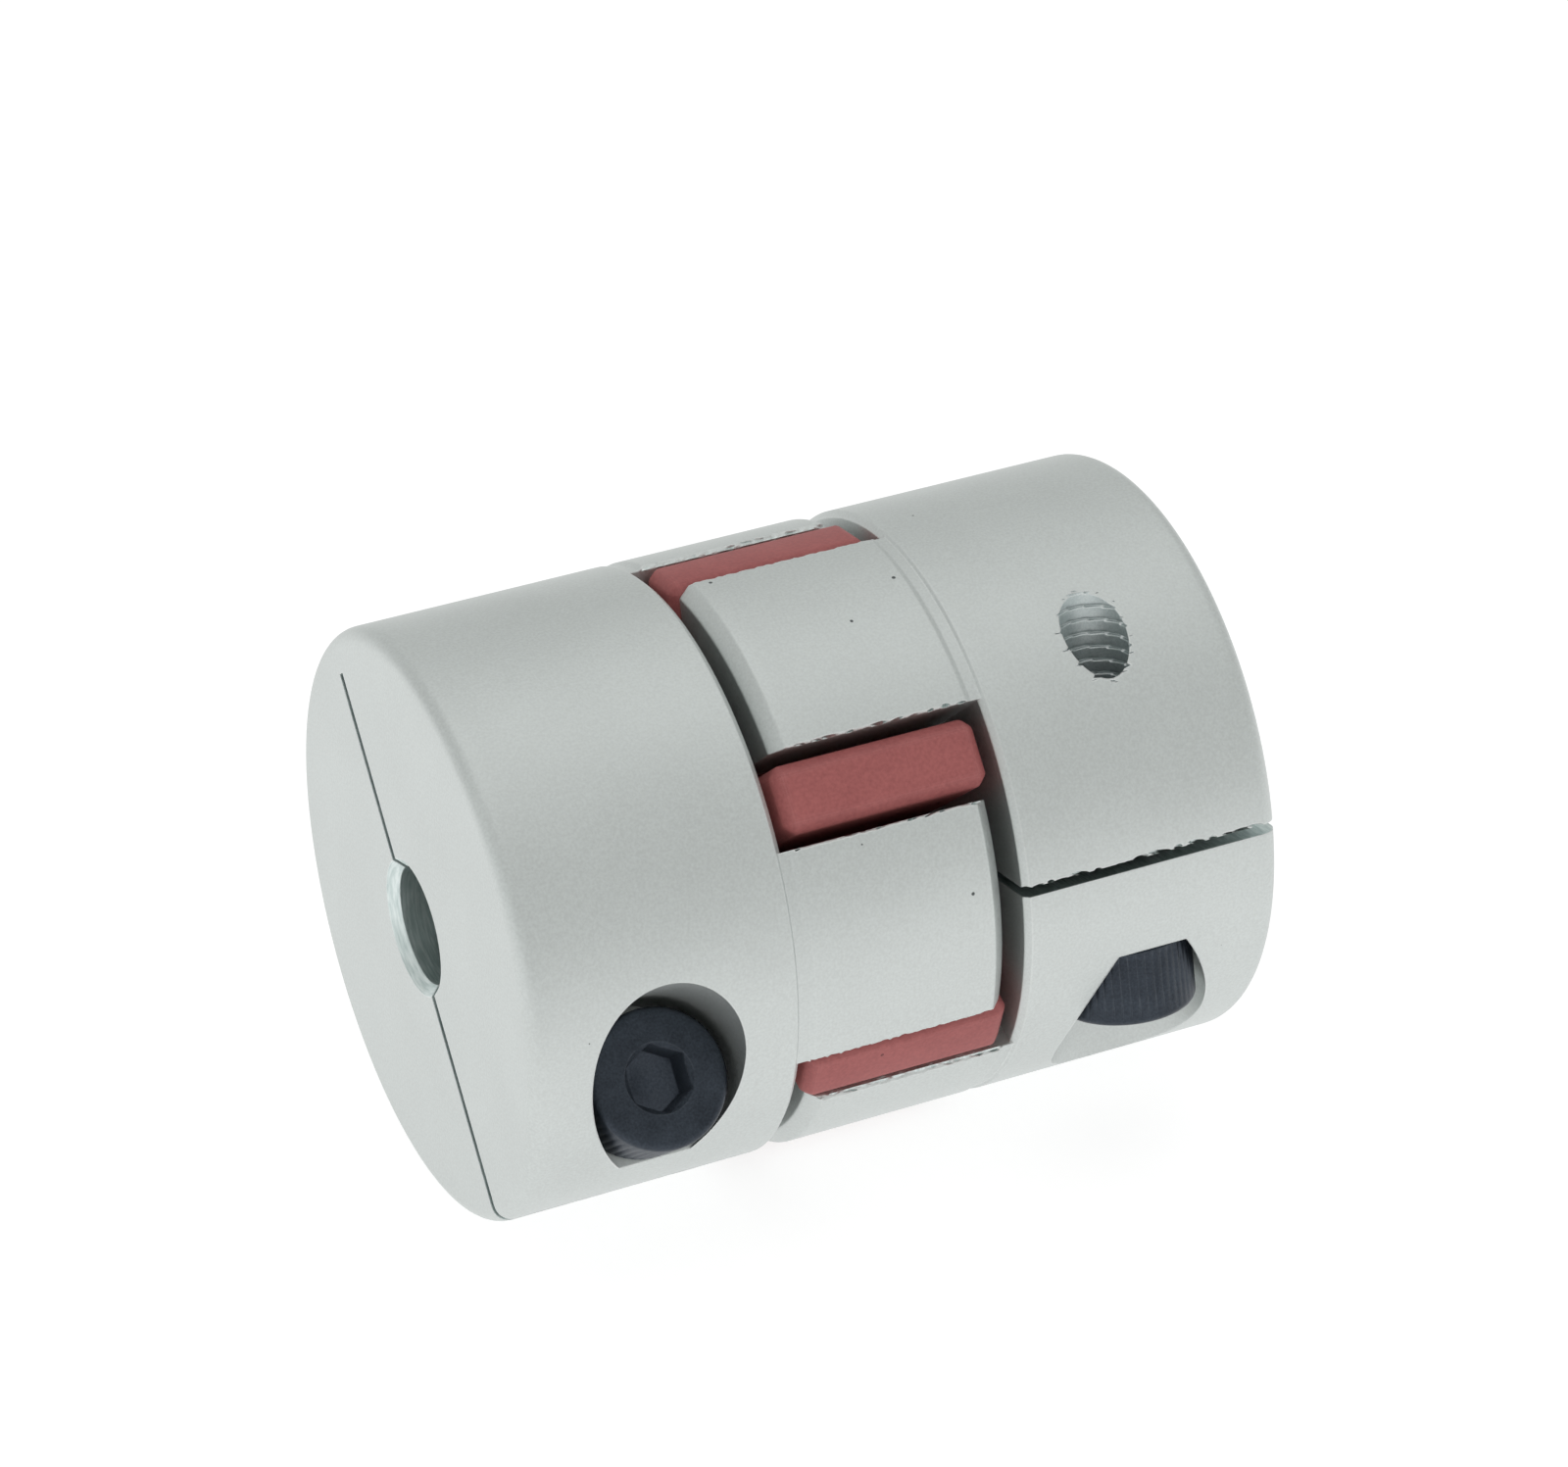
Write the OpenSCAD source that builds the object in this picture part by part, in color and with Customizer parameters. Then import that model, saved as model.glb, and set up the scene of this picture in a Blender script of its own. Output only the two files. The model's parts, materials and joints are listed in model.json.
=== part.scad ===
// Clamping jaw coupling for joining two shafts end to end.
// Two alike hubs with three jaws each mesh through a six-legged elastomer spider,
// and a socket-head screw in each hub closes its slit on the shaft.
//
// Origin: the middle of the coupling, on the shaft axis.
// +X runs along the shaft axis to the driven hub, +Z is up. Millimetres.

/* [Hubs] */
// Outside diameter of the hubs and their jaws
hub_d = 30; // [25:0.5:36]
// Length of each hub's clamping body, from its end face to its shoulder
hub_len = 14; // [11.5:0.5:20]
// Chamfer round the outer edge of each end face
end_chamfer = 0.8; // [0.2:0.1:1.5]
// Chamfer round the outer edge of the shoulder
shoulder_chamfer = 0.3; // [0.2:0.05:1]

/* [Jaws] */
// Length of a jaw, from the shoulder to its tip
jaw_len = 11; // [8:0.5:14]
// Width of the shallow groove where the jaws meet the shoulder
groove_w = 0.7; // [0.4:0.1:2]
// Depth of that groove
groove_depth = 0.15; // [0.05:0.05:0.15]
// Chamfer on the outer edge of a jaw's tip
tip_chamfer = 0.7; // [0.1:0.1:1.2]

/* [Bores] */
// Diameter of the drive hub's shaft bore
drive_bore_d = 6; // [3:0.05:9]
// Diameter of the driven hub's shaft bore
driven_bore_d = 6; // [3:0.05:9]
// Chamfer at both mouths of a shaft bore
bore_chamfer = 0.5; // [0.1:0.1:1]

/* [Clamp] */
// Width of the clamping slit
slit_w = 0.5; // [0.3:0.1:1]
// Wall left between the relief slit's end and the hub's outside
relief_web = 2; // [1.5:0.1:5]
// Distance from the screw's axis to the hub's outside
screw_edge = 4.4; // [4:0.1:5.5]
// Distance from the slit's middle plane to the seat under the screw's head
seat_depth = 5; // [3:0.1:6]

/* [Clamp screws] */
// Nominal diameter of the screw's thread
screw_d = 4; // [3:0.5:4]
// Length of the screw under its head
screw_len = 12; // [8:1:13]
// Diameter of the screw's head
head_d = 7; // [5.5:0.1:7.4]
// Height of the screw's head
head_len = 4; // [2.5:0.1:5]
// Chamfer round the top of the screw's head
head_chamfer = 0.35; // [0.1:0.05:0.6]
// Width of the hexagon socket across its flats
socket_w = 3; // [2:0.5:3.5]
// Depth of the hexagon socket
socket_depth = 2.2; // [1:0.1:2.4]

/* [Spider] */
// Width of a leg, across its two working faces
leg_w = 3.4; // [2.5:0.1:5]
// How far the legs end below the jaws' outside
leg_recess = 0.2; // [0.1:0.1:1.5]
// Chamfer on the edges of a leg
leg_chamfer = 0.5; // [0.1:0.1:1]
// Diameter of the hole through the spider's ring
ring_bore_d = 10.5; // [9:0.5:13]
// Wall of the spider's ring
ring_wall = 2.4; // [1.5:0.1:3]
// Length of the spider's ring
ring_len = 8.4; // [5:0.1:10]

/* [Clearances] */
// From a jaw's tip to the other hub's shoulder
tip_gap = 1; // [0.4:0.1:3]
// From a leg's end to the shoulder beside it
leg_end_gap = 0.6; // [0.3:0.1:1.5]
// From a leg's working face to the jaw beside it, with both hubs midway in their play
flank_gap = 0.35; // [0.05:0.05:0.4]
// From the spider's ring to the jaws around it
ring_gap = 0.35; // [0.2:0.05:1]
// Radial, from the screw's thread to the tapped hole
thread_gap = 0.05; // [0.02:0.01:0.1]
// Radial, from the screw's shank to the plain hole under its head
shank_gap = 0.25; // [0.1:0.05:0.5]
// From the underside of the screw's head to its seat
seat_gap = 0.02; // [0.01:0.01:0.1]
// Radial, from the screw's head to the wall of its pocket
head_gap = 0.5; // [0.2:0.05:0.7]

/* [Placing] */
// Angle of the drive hub's slit below the horizontal
slit_drop = 49; // [0:1:90]
// Share of the play round the legs that the driven hub is turned through
play_share = 0.95; // [0:0.05:0.95]

/* [Hidden] */
$fn = 96;

hub_color = [0.76, 0.78, 0.77];
spider_color = [0.63, 0.30, 0.28];
screw_color = [0.15, 0.17, 0.20];

jaw_count = 3;                          // jaws on each hub
leg_count = 2 * jaw_count;              // legs on the spider
leg_pitch = 360 / leg_count;            // angle from one leg to the next
hub_r = hub_d / 2;
jaw_tip = hub_len + jaw_len;            // from a hub's end face to its jaw tips
jaw_root = 1;                           // how deep a jaw starts inside its hub's body
shoulder_gap = jaw_len + tip_gap;       // from one hub's shoulder to the other's
total_len = 2 * hub_len + shoulder_gap;

leg_r = hub_r - leg_recess;
leg_len = shoulder_gap - 2 * leg_end_gap;
ring_r = ring_bore_d / 2 + ring_wall;
jaw_bore_r = ring_r + ring_gap;
flank_offset = leg_w / 2 + flank_gap;   // from a leg's middle plane to a jaw's flank

screw_r = screw_d / 2 - thread_gap;
screw_offset = hub_r - screw_edge;      // from the shaft axis to the screw's axis
screw_point = 0.5;                      // chamfer on the screw's end
pocket_r = head_d / 2 + head_gap;
relief_r = hub_r - relief_web;
overcut = 1;                            // how far a cut runs past the surface it opens

drive_roll = slit_drop - 90;
// The driven hub turns on the spider by the same angle as the spider on the drive hub
play_turn = play_share * asin(flank_gap / hub_r);
driven_roll = drive_roll + 180 - leg_pitch - 2 * play_turn;

// A hub stands on its end face at the origin: its axis is +Z, its slit opens along +X,
// and its screw goes in from the -Y side.

module hub_body() {
    rotate_extrude()
        polygon([
            [0, 0],
            [hub_r - end_chamfer, 0],
            [hub_r, end_chamfer],
            [hub_r, hub_len - shoulder_chamfer],
            [hub_r - shoulder_chamfer, hub_len],
            [0, hub_len]
        ]);
}

// The full ring that the jaws are parts of
module jaw_ring() {
    rotate_extrude()
        polygon([
            [jaw_bore_r, hub_len - jaw_root],
            [hub_r - groove_depth, hub_len - jaw_root],
            [hub_r - groove_depth, hub_len + groove_w - groove_depth],
            [hub_r, hub_len + groove_w],
            [hub_r, jaw_tip - tip_chamfer],
            [hub_r - tip_chamfer, jaw_tip],
            [jaw_bore_r, jaw_tip]
        ]);
}

// The space between two neighbouring legs, which one jaw fills
module jaw_sector() {
    half = leg_pitch / 2;
    apex = flank_offset / sin(half);
    reach = hub_d;
    linear_extrude(height = jaw_tip + overcut)
        polygon([
            [apex, 0],
            [apex + reach * cos(half), -reach * sin(half)],
            [apex + reach * cos(half), reach * sin(half)]
        ]);
}

module jaws() {
    intersection() {
        jaw_ring();
        union()
            for (i = [0 : jaw_count - 1])
                rotate([0, 0, leg_pitch + i * 2 * leg_pitch])
                    jaw_sector();
    }
}

module shaft_bore(bore_d) {
    mouth_r = bore_d / 2 + bore_chamfer;
    translate([0, 0, -overcut])
        cylinder(d = bore_d, h = hub_len + 2 * overcut);
    translate([0, 0, -overcut])
        cylinder(r1 = mouth_r + overcut, r2 = bore_d / 2, h = bore_chamfer + overcut);
    translate([0, 0, hub_len - bore_chamfer])
        cylinder(r1 = bore_d / 2, r2 = mouth_r + overcut, h = bore_chamfer + overcut);
}

// Open on the +X side, closed by the relief web on the other
module slit() {
    translate([-relief_r, -slit_w / 2, -overcut])
        cube([relief_r + hub_r + overcut, slit_w, jaw_tip + 2 * overcut]);
}

module screw_hole() {
    translate([screw_offset, 0, hub_len / 2]) {
        rotate([-90, 0, 0])
            cylinder(d = screw_d, h = hub_r + overcut);
        rotate([90, 0, 0])
            cylinder(r = screw_d / 2 + shank_gap, h = seat_depth + overcut);
        translate([0, -seat_depth, 0])
            rotate([90, 0, 0])
                cylinder(r = pocket_r, h = hub_r);
    }
}

module hub(bore_d) {
    difference() {
        union() {
            hub_body();
            jaws();
        }
        shaft_bore(bore_d);
        slit();
        screw_hole();
    }
}

// Seat under the head at the origin, head on the +Z side
module clamp_screw() {
    socket_r = socket_w / sqrt(3);
    point_len = socket_w / 4;
    difference() {
        rotate_extrude()
            polygon([
                [0, -screw_len],
                [screw_r - screw_point, -screw_len],
                [screw_r, screw_point - screw_len],
                [screw_r, 0],
                [head_d / 2, 0],
                [head_d / 2, head_len - head_chamfer],
                [head_d / 2 - head_chamfer, head_len],
                [0, head_len]
            ]);
        translate([0, 0, head_len - socket_depth])
            cylinder(r = socket_r, h = socket_depth + overcut, $fn = 6);
        translate([0, 0, head_len - socket_depth - point_len])
            cylinder(r1 = 0, r2 = socket_w / 2, h = point_len);
    }
}

// A clamp screw in the hub that stands on the origin
module seated_screw() {
    translate([screw_offset, -seat_depth - seat_gap, hub_len / 2])
        rotate([90, 0, 0])
            clamp_screw();
}

// A rectangle about the origin with its corners cut off
module bevelled_rectangle(size_a, size_b, bevel) {
    a = size_a / 2;
    b = size_b / 2;
    polygon([
        [-a, bevel - b], [bevel - a, -b],
        [a - bevel, -b], [a, bevel - b],
        [a, b - bevel], [a - bevel, b],
        [bevel - a, b], [-a, b - bevel]
    ]);
}

// One leg along +X, bevelled round its outer end and along its four long edges
module leg() {
    intersection() {
        rotate([0, 90, 0])
            linear_extrude(height = leg_r)
                bevelled_rectangle(leg_len, leg_w, leg_chamfer);
        linear_extrude(height = leg_len, center = true)
            bevelled_rectangle(2 * leg_r, leg_w, leg_chamfer);
        rotate([90, 0, 0])
            linear_extrude(height = leg_w, center = true)
                bevelled_rectangle(2 * leg_r, leg_len, leg_chamfer);
    }
}

module spider_body() {
    difference() {
        union() {
            cylinder(r = ring_r, h = ring_len, center = true);
            for (i = [0 : leg_count - 1])
                rotate([0, 0, (i + 0.5) * leg_pitch])
                    leg();
        }
        cylinder(d = ring_bore_d, h = leg_len + 2 * overcut, center = true);
    }
}

module at_drive_end() {
    translate([-total_len / 2, 0, 0])
        rotate([drive_roll, 0, 0])
            rotate([0, 90, 0])
                children();
}

module at_driven_end() {
    translate([total_len / 2, 0, 0])
        rotate([driven_roll, 0, 0])
            rotate([0, -90, 0])
                children();
}

module drive_hub() {
    color(hub_color)
        at_drive_end()
            hub(drive_bore_d);
}

module driven_hub() {
    color(hub_color)
        at_driven_end()
            hub(driven_bore_d);
}

module spider() {
    color(spider_color)
        at_drive_end()
            translate([0, 0, total_len / 2])
                rotate([0, 0, -play_turn])
                    spider_body();
}

module drive_clamp_screw() {
    color(screw_color)
        at_drive_end()
            seated_screw();
}

module driven_clamp_screw() {
    color(screw_color)
        at_driven_end()
            seated_screw();
}

drive_hub();
spider();
driven_hub();
drive_clamp_screw();
driven_clamp_screw();
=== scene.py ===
import json
import math
import random

import bmesh
import bpy
from mathutils import Matrix, Vector


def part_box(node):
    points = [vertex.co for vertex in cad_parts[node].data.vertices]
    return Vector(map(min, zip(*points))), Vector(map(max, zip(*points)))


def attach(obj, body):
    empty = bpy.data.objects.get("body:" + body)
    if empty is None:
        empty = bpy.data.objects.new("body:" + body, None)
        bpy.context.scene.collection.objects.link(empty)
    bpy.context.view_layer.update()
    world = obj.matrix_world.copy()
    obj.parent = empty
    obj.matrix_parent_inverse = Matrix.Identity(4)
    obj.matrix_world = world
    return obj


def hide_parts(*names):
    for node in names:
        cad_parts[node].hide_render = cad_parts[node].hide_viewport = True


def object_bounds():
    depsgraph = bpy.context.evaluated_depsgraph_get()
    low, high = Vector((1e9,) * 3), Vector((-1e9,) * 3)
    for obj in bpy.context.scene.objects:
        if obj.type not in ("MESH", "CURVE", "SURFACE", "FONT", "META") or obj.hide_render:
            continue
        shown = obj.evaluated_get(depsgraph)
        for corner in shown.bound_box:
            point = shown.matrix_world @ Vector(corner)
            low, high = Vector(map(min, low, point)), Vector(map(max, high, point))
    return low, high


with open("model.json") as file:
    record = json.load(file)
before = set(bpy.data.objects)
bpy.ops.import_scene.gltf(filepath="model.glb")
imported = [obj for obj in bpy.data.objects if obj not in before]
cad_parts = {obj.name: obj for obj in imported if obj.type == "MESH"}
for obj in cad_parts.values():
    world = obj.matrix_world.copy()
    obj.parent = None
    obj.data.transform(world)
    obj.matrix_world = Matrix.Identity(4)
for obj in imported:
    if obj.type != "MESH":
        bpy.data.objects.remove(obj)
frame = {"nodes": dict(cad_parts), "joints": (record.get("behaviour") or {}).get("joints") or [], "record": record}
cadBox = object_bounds()

# shapes are worked out in millimetres in a hub's own frame and come to metres when they are placed
mm = 0.001
joints = {joint["name"]: joint for joint in frame["joints"]}
mounts = {mount["name"]: mount for mount in frame["record"]["mounts"]}


# nodes, for shaders and for geometry alike

def addNode(tree, kind, **settings):
    node = tree.nodes.new(kind)
    for name, value in settings.items():
        setattr(node, name, value)
    return node


def feed(tree, socket, value):
    # a socket takes either another node's output or a plain value
    if isinstance(value, bpy.types.NodeSocket):
        tree.links.new(value, socket)
    else:
        socket.default_value = value


def calc(tree, operation, *given):
    node = addNode(tree, "ShaderNodeMath", operation=operation)
    for socket, value in zip(node.inputs, given):
        feed(tree, socket, value)
    return node.outputs[0]


def remap(tree, value, low, high, toLow=0.0, toHigh=1.0):
    node = addNode(tree, "ShaderNodeMapRange", clamp=True)
    names = ("Value", "From Min", "From Max", "To Min", "To Max")
    for name, source in zip(names, (value, low, high, toLow, toHigh)):
        feed(tree, node.inputs[name], source)
    return node.outputs[0]


def newTree(name, kind, inputs, outputs):
    tree = bpy.data.node_groups.new(name, kind)
    for label, socketType, default in inputs:
        socket = tree.interface.new_socket(label, in_out="INPUT", socket_type=socketType)
        if default is not None:
            socket.default_value = default
    for label, socketType in outputs:
        tree.interface.new_socket(label, in_out="OUTPUT", socket_type=socketType)
    given = addNode(tree, "NodeGroupInput").outputs
    result = addNode(tree, "NodeGroupOutput").inputs
    return tree, given, result


# meshes

def toObject(name, mesh, finish=None):
    bmesh.ops.recalc_face_normals(mesh, faces=mesh.faces)
    data = bpy.data.meshes.new(name)
    mesh.to_mesh(data)
    mesh.free()
    if finish:
        data.materials.append(finish)
    piece = bpy.data.objects.new(name, data)
    bpy.context.scene.collection.objects.link(piece)
    return piece


def settle(piece):
    # the evaluated shape becomes a plain mesh and its modifiers go
    graph = bpy.context.evaluated_depsgraph_get()
    data = bpy.data.meshes.new_from_object(piece.evaluated_get(graph))
    piece.modifiers.clear()
    piece.data = data
    return piece


def combine(piece, tool, operation):
    modifier = piece.modifiers.new(operation, "BOOLEAN")
    modifier.operation = operation
    modifier.solver = "MANIFOLD"
    modifier.material_mode = "TRANSFER"
    modifier.object = tool
    settle(piece)
    bpy.data.objects.remove(tool)
    return piece


def runTree(piece, tree, values):
    modifier = piece.modifiers.new(tree.name, "NODES")
    modifier.node_group = tree
    for item in tree.interface.items_tree:
        if item.item_type == "SOCKET" and item.in_out == "INPUT" and item.name in values:
            modifier[item.identifier] = values[item.name]
    return settle(piece)


def rounded(corners, steps=5):
    # (x, y, radius) corners become an outline with arcs in the ones that have a radius
    outline = []
    for index, (x, y, radius) in enumerate(corners):
        corner = Vector((x, y))
        if radius <= 0:
            outline.append(corner)
            continue
        before = (Vector(corners[index - 1][:2]) - corner).normalized()
        after = (Vector(corners[(index + 1) % len(corners)][:2]) - corner).normalized()
        half = before.angle(after) / 2
        centre = corner + (before + after).normalized() * radius / math.sin(half)
        start = corner + before * radius / math.tan(half) - centre
        end = corner + after * radius / math.tan(half) - centre
        sweep = start.angle(end)
        for step in range(steps + 1):
            share = step / steps
            swung = start * math.sin((1 - share) * sweep) + end * math.sin(share * sweep)
            outline.append(centre + swung / math.sin(sweep))
    return outline


def lathe(name, outline, turns, closed=False, finish=None):
    # spins (radius, height) points about Z
    mesh = bmesh.new()
    rings = []
    for radius, height in outline:
        if radius < 1e-6:
            rings.append([mesh.verts.new((0, 0, height))])
            continue
        angles = [math.tau * step / turns for step in range(turns)]
        rings.append([mesh.verts.new((radius * math.cos(a), radius * math.sin(a), height)) for a in angles])
    pairs = list(zip(rings, rings[1:]))
    if closed:
        pairs.append((rings[-1], rings[0]))
    for lower, upper in pairs:
        for step in range(turns):
            following = (step + 1) % turns
            if len(lower) == 1:
                mesh.faces.new((lower[0], upper[following], upper[step]))
            elif len(upper) == 1:
                mesh.faces.new((lower[step], lower[following], upper[0]))
            else:
                mesh.faces.new((lower[step], lower[following], upper[following], upper[step]))
    return toObject(name, mesh, finish)


def prism(name, outlines, low, high, finish=None):
    # straight walls over each outline
    mesh = bmesh.new()
    for outline in outlines:
        base = [mesh.verts.new((x, y, low)) for x, y in outline]
        top = [mesh.verts.new((x, y, high)) for x, y in outline]
        mesh.faces.new(base[::-1])
        mesh.faces.new(top)
        for index in range(len(base)):
            following = (index + 1) % len(base)
            mesh.faces.new((base[index], base[following], top[following], top[index]))
    return toObject(name, mesh, finish)


def loft(name, sections, finish):
    # one closed skin over matching (x, y, z) outlines
    mesh = bmesh.new()
    rings = [[mesh.verts.new(point) for point in section] for section in sections]
    for lower, upper in zip(rings, rings[1:]):
        for index in range(len(lower)):
            following = (index + 1) % len(lower)
            mesh.faces.new((lower[index], lower[following], upper[following]))
            mesh.faces.new((lower[index], upper[following], upper[index]))
    mesh.faces.new(rings[0][::-1])
    mesh.faces.new(rings[-1])
    return toObject(name, mesh, finish)


def shadeByAngle(piece, degrees):
    piece.data.shade_smooth()
    piece.data.set_sharp_from_angle(angle=math.radians(degrees))


# geometry trees

def threadTree():
    # a closed rod whose wall is a right-hand thread, about the middle of its length
    tree, given, result = newTree("threadTree", "GeometryNodeTree", [
        ("Length", "NodeSocketFloat", 10.0),
        ("Root Radius", "NodeSocketFloat", 1.6),
        ("Crest Radius", "NodeSocketFloat", 2.0),
        ("Pitch", "NodeSocketFloat", 0.7),
        ("Run Out", "NodeSocketFloat", 0.5),
        ("Around", "NodeSocketInt", 96),
        ("Along", "NodeSocketInt", 100),
        ("Finish", "NodeSocketMaterial", None),
    ], [("Geometry", "NodeSocketGeometry")])
    rod = addNode(tree, "GeometryNodeMeshCylinder", fill_type="NGON")
    feed(tree, rod.inputs["Vertices"], given["Around"])
    feed(tree, rod.inputs["Side Segments"], given["Along"])
    feed(tree, rod.inputs["Radius"], 1.0)
    feed(tree, rod.inputs["Depth"], given["Length"])
    place = addNode(tree, "ShaderNodeSeparateXYZ")
    tree.links.new(addNode(tree, "GeometryNodeInputPosition").outputs[0], place.inputs[0])
    x, y, z = place.outputs
    turn = calc(tree, "DIVIDE", calc(tree, "ARCTAN2", y, x), math.tau)
    phase = calc(tree, "FRACT", calc(tree, "SUBTRACT", calc(tree, "DIVIDE", z, given["Pitch"]), turn))
    # a low saw tooth: half the depth at the start of each turn, and the root soon after it
    fall = calc(tree, "MULTIPLY_ADD", phase, 2.0, 0.5)
    rootShare, crestShare = 0.14, 0.86      # the profile is flat below one and above the other
    ridge = remap(tree, calc(tree, "SUBTRACT", 1.0, fall), rootShare, crestShare)
    room = calc(tree, "SUBTRACT", calc(tree, "MULTIPLY", given["Length"], 0.5), calc(tree, "ABSOLUTE", z))
    ending = remap(tree, room, 0.0, given["Run Out"])
    depth = calc(tree, "SUBTRACT", given["Crest Radius"], given["Root Radius"])
    grown = calc(tree, "MULTIPLY", calc(tree, "MULTIPLY", ridge, ending), depth)
    radius = calc(tree, "ADD", grown, given["Root Radius"])
    moved = addNode(tree, "ShaderNodeCombineXYZ")
    feed(tree, moved.inputs[0], calc(tree, "MULTIPLY", x, radius))
    feed(tree, moved.inputs[1], calc(tree, "MULTIPLY", y, radius))
    feed(tree, moved.inputs[2], z)
    shaped = addNode(tree, "GeometryNodeSetPosition")
    tree.links.new(rod.outputs["Mesh"], shaped.inputs["Geometry"])
    tree.links.new(moved.outputs[0], shaped.inputs["Position"])
    closeTree(tree, shaped.outputs[0], given["Finish"], result["Geometry"])
    return tree


def closeTree(tree, shape, finish, result):
    real = addNode(tree, "GeometryNodeRealizeInstances")
    coated = addNode(tree, "GeometryNodeSetMaterial")
    tree.links.new(shape, real.inputs[0])
    tree.links.new(real.outputs[0], coated.inputs["Geometry"])
    tree.links.new(finish, coated.inputs["Material"])
    tree.links.new(coated.outputs[0], result)


def knurlTree():
    # presses upright grooves into the side of a turned head
    tree, given, result = newTree("knurlTree", "GeometryNodeTree", [
        ("Geometry", "NodeSocketGeometry", None),
        ("Head Radius", "NodeSocketFloat", 3.5),
        ("Ribs", "NodeSocketFloat", 50.0),
        ("Depth", "NodeSocketFloat", 0.1),
        ("Low", "NodeSocketFloat", 0.2),
        ("High", "NodeSocketFloat", 3.4),
        ("Finish", "NodeSocketMaterial", None),
    ], [("Geometry", "NodeSocketGeometry")])
    place = addNode(tree, "ShaderNodeSeparateXYZ")
    tree.links.new(addNode(tree, "GeometryNodeInputPosition").outputs[0], place.inputs[0])
    x, y, z = place.outputs
    turn = calc(tree, "ARCTAN2", y, x)
    squares = calc(tree, "ADD", calc(tree, "MULTIPLY", x, x), calc(tree, "MULTIPLY", y, y))
    reach = calc(tree, "SQRT", squares)
    halfTurns = calc(tree, "MULTIPLY", calc(tree, "MULTIPLY", turn, 0.5), given["Ribs"])
    wave = calc(tree, "ABSOLUTE", calc(tree, "SINE", halfTurns))
    groove = calc(tree, "SUBTRACT", 1.0, wave)
    fade = 0.15     # the grooves run out over this height
    start = remap(tree, z, given["Low"], calc(tree, "ADD", given["Low"], fade))
    end = remap(tree, z, calc(tree, "SUBTRACT", given["High"], fade), given["High"], 1.0, 0.0)
    skin = 0.01     # only points this near the side are pressed
    outside = calc(tree, "GREATER_THAN", reach, calc(tree, "SUBTRACT", given["Head Radius"], skin))
    side = calc(tree, "MULTIPLY", outside, groove)
    amount = calc(tree, "MULTIPLY", calc(tree, "MULTIPLY", start, end), side)
    press = calc(tree, "MULTIPLY", amount, given["Depth"])
    share = calc(tree, "SUBTRACT", 1.0, calc(tree, "DIVIDE", press, calc(tree, "MAXIMUM", reach, 0.001)))
    moved = addNode(tree, "ShaderNodeCombineXYZ")
    feed(tree, moved.inputs[0], calc(tree, "MULTIPLY", x, share))
    feed(tree, moved.inputs[1], calc(tree, "MULTIPLY", y, share))
    feed(tree, moved.inputs[2], z)
    shaped = addNode(tree, "GeometryNodeSetPosition")
    tree.links.new(given["Geometry"], shaped.inputs["Geometry"])
    tree.links.new(moved.outputs[0], shaped.inputs["Position"])
    closeTree(tree, shaped.outputs[0], given["Finish"], result["Geometry"])
    return tree


def randomVector(tree, least, most, seed):
    node = addNode(tree, "FunctionNodeRandomValue", data_type="FLOAT_VECTOR")
    feed(tree, node.inputs["Min"], least)
    feed(tree, node.inputs["Max"], most)
    feed(tree, node.inputs["Seed"], seed)
    return node.outputs[0]


def chipTree():
    # small irregular bites strung along an edge, to be cut out of it
    stretch = ((1.5, 0.25, 1.2), (3.5, 0.85, 4.5))      # least and most, in sizes of a bite
    tilt = ((-0.2, -0.2, -0.3), (0.2, 0.2, 0.3))        # radians
    shift = ((-0.06, -0.06, -0.2), (0.06, 0.06, 0.2))   # millimetres off the edge
    tree, given, result = newTree("chipTree", "GeometryNodeTree", [
        ("Geometry", "NodeSocketGeometry", None),
        ("Count", "NodeSocketInt", 20),
        ("Size", "NodeSocketFloat", 0.12),
        ("Facing", "NodeSocketFloat", 0.0),
        ("Seed", "NodeSocketInt", 1),
        ("Finish", "NodeSocketMaterial", None),
    ], [("Geometry", "NodeSocketGeometry")])
    path = addNode(tree, "GeometryNodeMeshToCurve")
    tree.links.new(given["Geometry"], path.inputs["Mesh"])
    spots = addNode(tree, "GeometryNodeCurveToPoints", mode="COUNT")
    tree.links.new(path.outputs[0], spots.inputs["Curve"])
    feed(tree, spots.inputs["Count"], given["Count"])
    bite = addNode(tree, "GeometryNodeMeshIcoSphere")
    feed(tree, bite.inputs["Radius"], 1.0)
    feed(tree, bite.inputs["Subdivisions"], 1)
    sizes = randomVector(tree, *stretch, given["Seed"])
    scaled = addNode(tree, "ShaderNodeVectorMath", operation="SCALE")
    tree.links.new(sizes, scaled.inputs[0])
    feed(tree, scaled.inputs["Scale"], given["Size"])
    spins = randomVector(tree, *tilt, given["Seed"])
    facing = addNode(tree, "ShaderNodeCombineXYZ")
    tree.links.new(given["Facing"], facing.inputs[2])
    turned = addNode(tree, "ShaderNodeVectorMath", operation="ADD")
    tree.links.new(spins, turned.inputs[0])
    tree.links.new(facing.outputs[0], turned.inputs[1])
    shifts = randomVector(tree, *shift, given["Seed"])
    jogged = addNode(tree, "GeometryNodeSetPosition")
    tree.links.new(spots.outputs["Points"], jogged.inputs["Geometry"])
    tree.links.new(shifts, jogged.inputs["Offset"])
    strung = addNode(tree, "GeometryNodeInstanceOnPoints")
    tree.links.new(jogged.outputs[0], strung.inputs["Points"])
    tree.links.new(bite.outputs["Mesh"], strung.inputs["Instance"])
    tree.links.new(turned.outputs[0], strung.inputs["Rotation"])
    tree.links.new(scaled.outputs[0], strung.inputs["Scale"])
    closeTree(tree, strung.outputs[0], given["Finish"], result["Geometry"])
    return tree


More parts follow.
